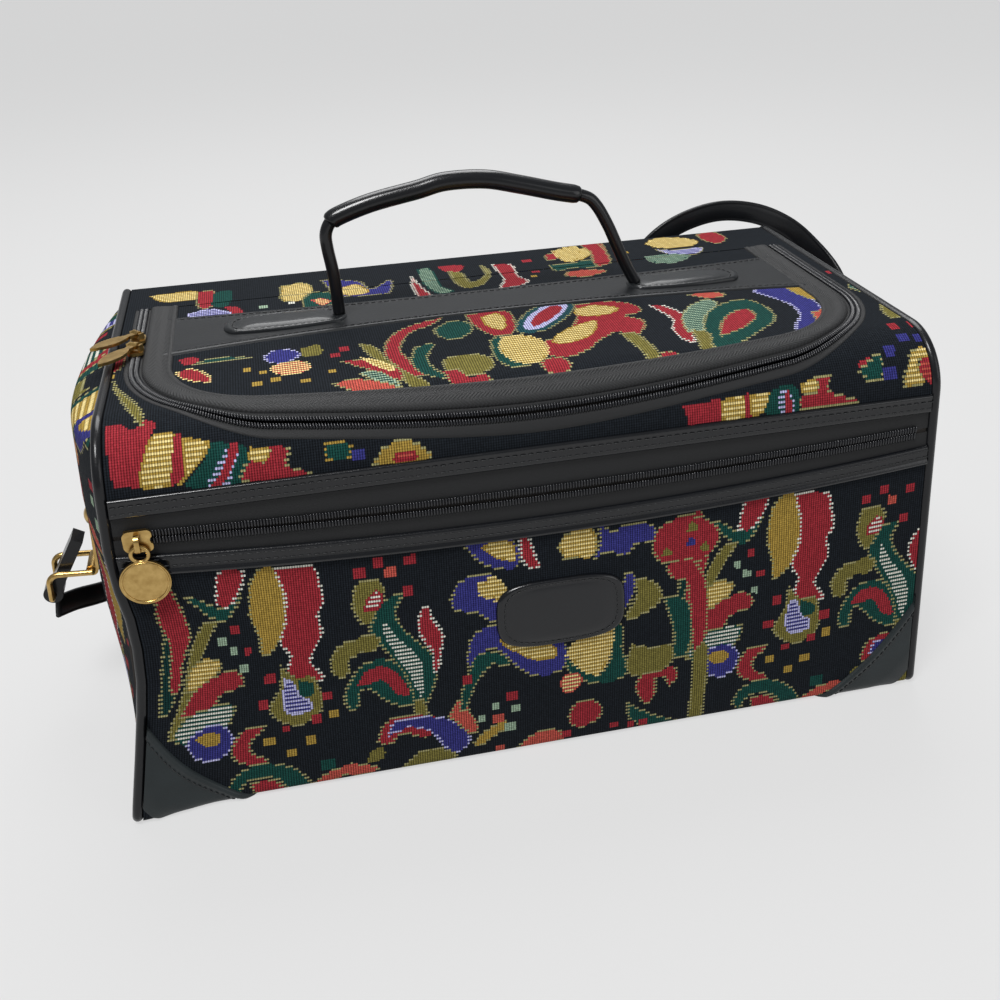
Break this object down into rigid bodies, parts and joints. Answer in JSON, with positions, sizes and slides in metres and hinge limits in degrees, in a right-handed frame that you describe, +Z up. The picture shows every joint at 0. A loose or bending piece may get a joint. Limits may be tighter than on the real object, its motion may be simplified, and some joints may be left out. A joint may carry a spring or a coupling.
{
  "type": "soft_travel_case",
  "caption": "Soft tapestry carpet bag with black leatherette trim, zipped lid, zipped front pocket, rolled top handle and a shoulder strap on end rings",
  "frame": {"origin": "middle of the base, on the floor", "axes": "+X to the right seen from the front, +Y to the back, +Z up"},
  "size_m": [0.4832, 0.2282, 0.2635],
  "materials": {
    "tapestry": "woven floral tapestry on a black ground",
    "lining_cloth": "plain dark lining",
    "zip_tape": "black twill tape",
    "zip_coil": "black nylon coil",
    "leatherette": "black grained leatherette",
    "board": "fibreboard",
    "antique_brass": "antique brass",
    "black_metal": "black enamel"
  },
  "bodies": {
    "body": {"bottom_panel": "leatherette", "base_board": "board", "back_panel": "tapestry", "left_end": "tapestry", "right_end": "tapestry", "front_wall": "lining_cloth", "pocket_front": "tapestry", "shoulder_panel": "tapestry", "hinge_hem": "tapestry", "lining": "lining_cloth", "piping_left": "leatherette", "piping_right": "leatherette", "pocket_strip_upper": "leatherette", "pocket_strip_lower": "leatherette", "pocket_tape_upper": "zip_tape", "pocket_tape_lower": "zip_tape", "pocket_chain": "zip_coil", "corner_patch_left": "leatherette", "corner_patch_right": "leatherette", "front_patch": "leatherette", "body_zip_tape": "zip_tape", "body_zip_chain": "zip_coil", "upper_rivet_left": "black_metal", "upper_rivet_right": "black_metal", "anchor_rivet_left": "antique_brass", "anchor_rivet_right": "antique_brass", "anchor_plate_left": "antique_brass", "anchor_plate_right": "antique_brass", "strap_left": "leatherette", "strap_right": "leatherette"},
    "lid": {"lid_front_panel": "tapestry", "lid_rear_panel": "tapestry", "lid_band": "leatherette", "lid_board": "board", "lid_binding": "zip_tape", "lid_zip_tape": "zip_tape", "lid_zip_chain": "zip_coil", "handle_core": "leatherette", "handle_grip": "leatherette", "handle_tab_left": "leatherette", "handle_tab_right": "leatherette"},
    "pocket_slider": {"pocket_slider": "antique_brass"},
    "pocket_pull": {"pocket_pull": "antique_brass"},
    "lid_slider_front": {"lid_slider_front": "antique_brass"},
    "lid_pull_front": {"lid_pull_front": "antique_brass"},
    "lid_slider_rear": {"lid_slider_rear": "antique_brass"},
    "lid_pull_rear": {"lid_pull_rear": "antique_brass"},
    "ring_left": {"ring_left": "antique_brass", "strap_end_left": "leatherette"},
    "ring_right": {"ring_right": "antique_brass", "strap_end_right": "leatherette"}
  },
  "joints": [
    {"name": "lid_hinge", "type": "hinge", "parent": "body", "child": "lid", "pos_m": [0, 0.0552, 0.1968], "axis": [-1, 0, 0], "range_deg": [0, 110]},
    {"name": "pocket_zip", "type": "slide", "parent": "body", "child": "pocket_slider", "axis": [1, 0, 0], "range_m": [0, 0.3487]},
    {"name": "pocket_pull_swing", "type": "hinge", "parent": "pocket_slider", "child": "pocket_pull", "pos_m": [-0.17434, -0.1056, 0.1484], "axis": [-1, 0, 0], "range_deg": [0, 160]},
    {"name": "lid_zip_front", "type": "slide", "parent": "lid", "child": "lid_slider_front", "axis": [0, -1, 0], "range_m": [0, 0.012]},
    {"name": "lid_pull_front_swing", "type": "hinge", "parent": "lid_slider_front", "child": "lid_pull_front", "pos_m": [-0.17207, -0.009, 0.2006], "axis": [-0.8192, 0.5736, 0], "range_deg": [0, 150]},
    {"name": "lid_zip_rear", "type": "slide", "parent": "lid", "child": "lid_slider_rear", "axis": [0, 1, 0], "range_m": [0, 0.028]},
    {"name": "lid_pull_rear_swing", "type": "hinge", "parent": "lid_slider_rear", "child": "lid_pull_rear", "pos_m": [-0.17207, 0.007, 0.2006], "axis": [-0.6157, 0.788, 0], "range_deg": [0, 150]},
    {"name": "ring_left_swing", "type": "hinge", "parent": "body", "child": "ring_left", "pos_m": [-0.21488, 0, 0.08402], "axis": [0, -1, 0], "range_deg": [-60, 45], "deforming": ["strap_left", "strap_end_left"]},
    {"name": "ring_right_swing", "type": "hinge", "parent": "body", "child": "ring_right", "pos_m": [0.21488, 0, 0.08402], "axis": [0, 1, 0], "range_deg": [-60, 45], "deforming": ["strap_right", "strap_end_right"]}
  ]
}
